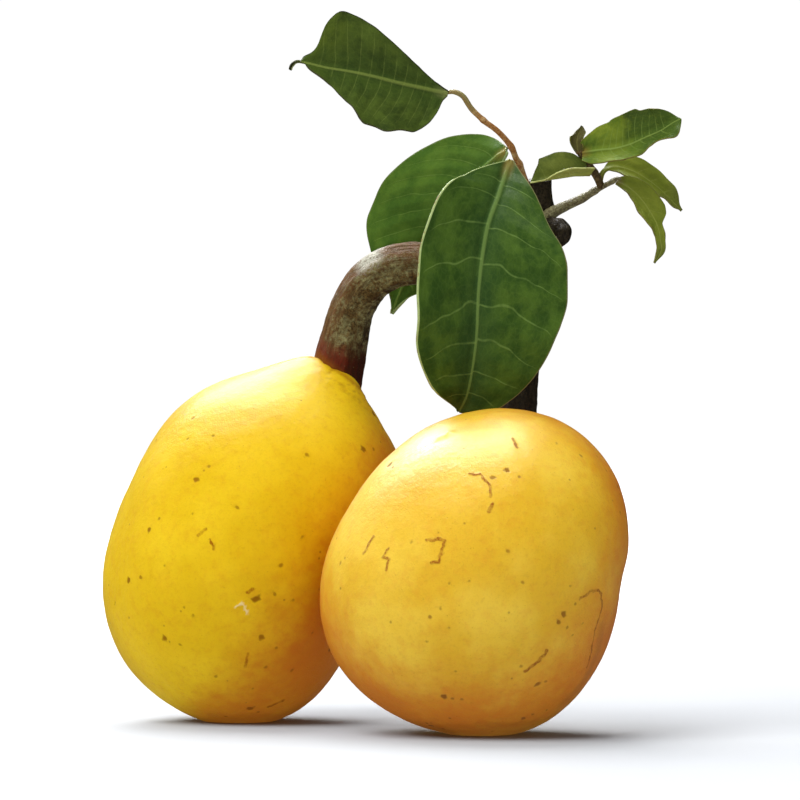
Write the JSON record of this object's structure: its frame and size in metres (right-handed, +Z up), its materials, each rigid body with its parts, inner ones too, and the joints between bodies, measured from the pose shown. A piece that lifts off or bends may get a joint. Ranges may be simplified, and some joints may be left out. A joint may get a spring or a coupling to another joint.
{
  "type": "marula fruit on the twig",
  "caption": "Ripe marulas joined by their woody twig, with thick stalks, big leaflets and a leafy side shoot.",
  "frame": {"origin": "middle of the small flat spot under the right fruit, on the surface the fruits rest on", "axes": "+Z up, +X to the right and -Y to the front, as seen with the leafy side shoot on the right"},
  "size_m": [0.0702, 0.06, 0.0846],
  "materials": {
    "left_skin": "satin",
    "right_skin": "satin",
    "stalk_bark": "satin",
    "dark_bark": "matte",
    "shoot_bark": "matte",
    "leaf_stalk_skin": "matte",
    "leaf_green": "satin",
    "young_leaf_green": "satin"
  },
  "bodies": {
    "root": {"left_fruit": "left_skin", "right_fruit": "right_skin", "left_fruit_stalk": "stalk_bark", "right_fruit_stalk": "dark_bark", "twig": "dark_bark", "spur": "dark_bark", "side_shoot": "shoot_bark", "leaf_stalk": "leaf_stalk_skin", "front_leaf": "leaf_green", "back_leaf": "leaf_green", "upper_leaf": "leaf_green", "young_leaf_top": "young_leaf_green", "young_leaf_left": "young_leaf_green", "young_leaf_right": "young_leaf_green", "young_leaf_hanging": "young_leaf_green", "bud": "young_leaf_green"}
  },
  "joints": []
}
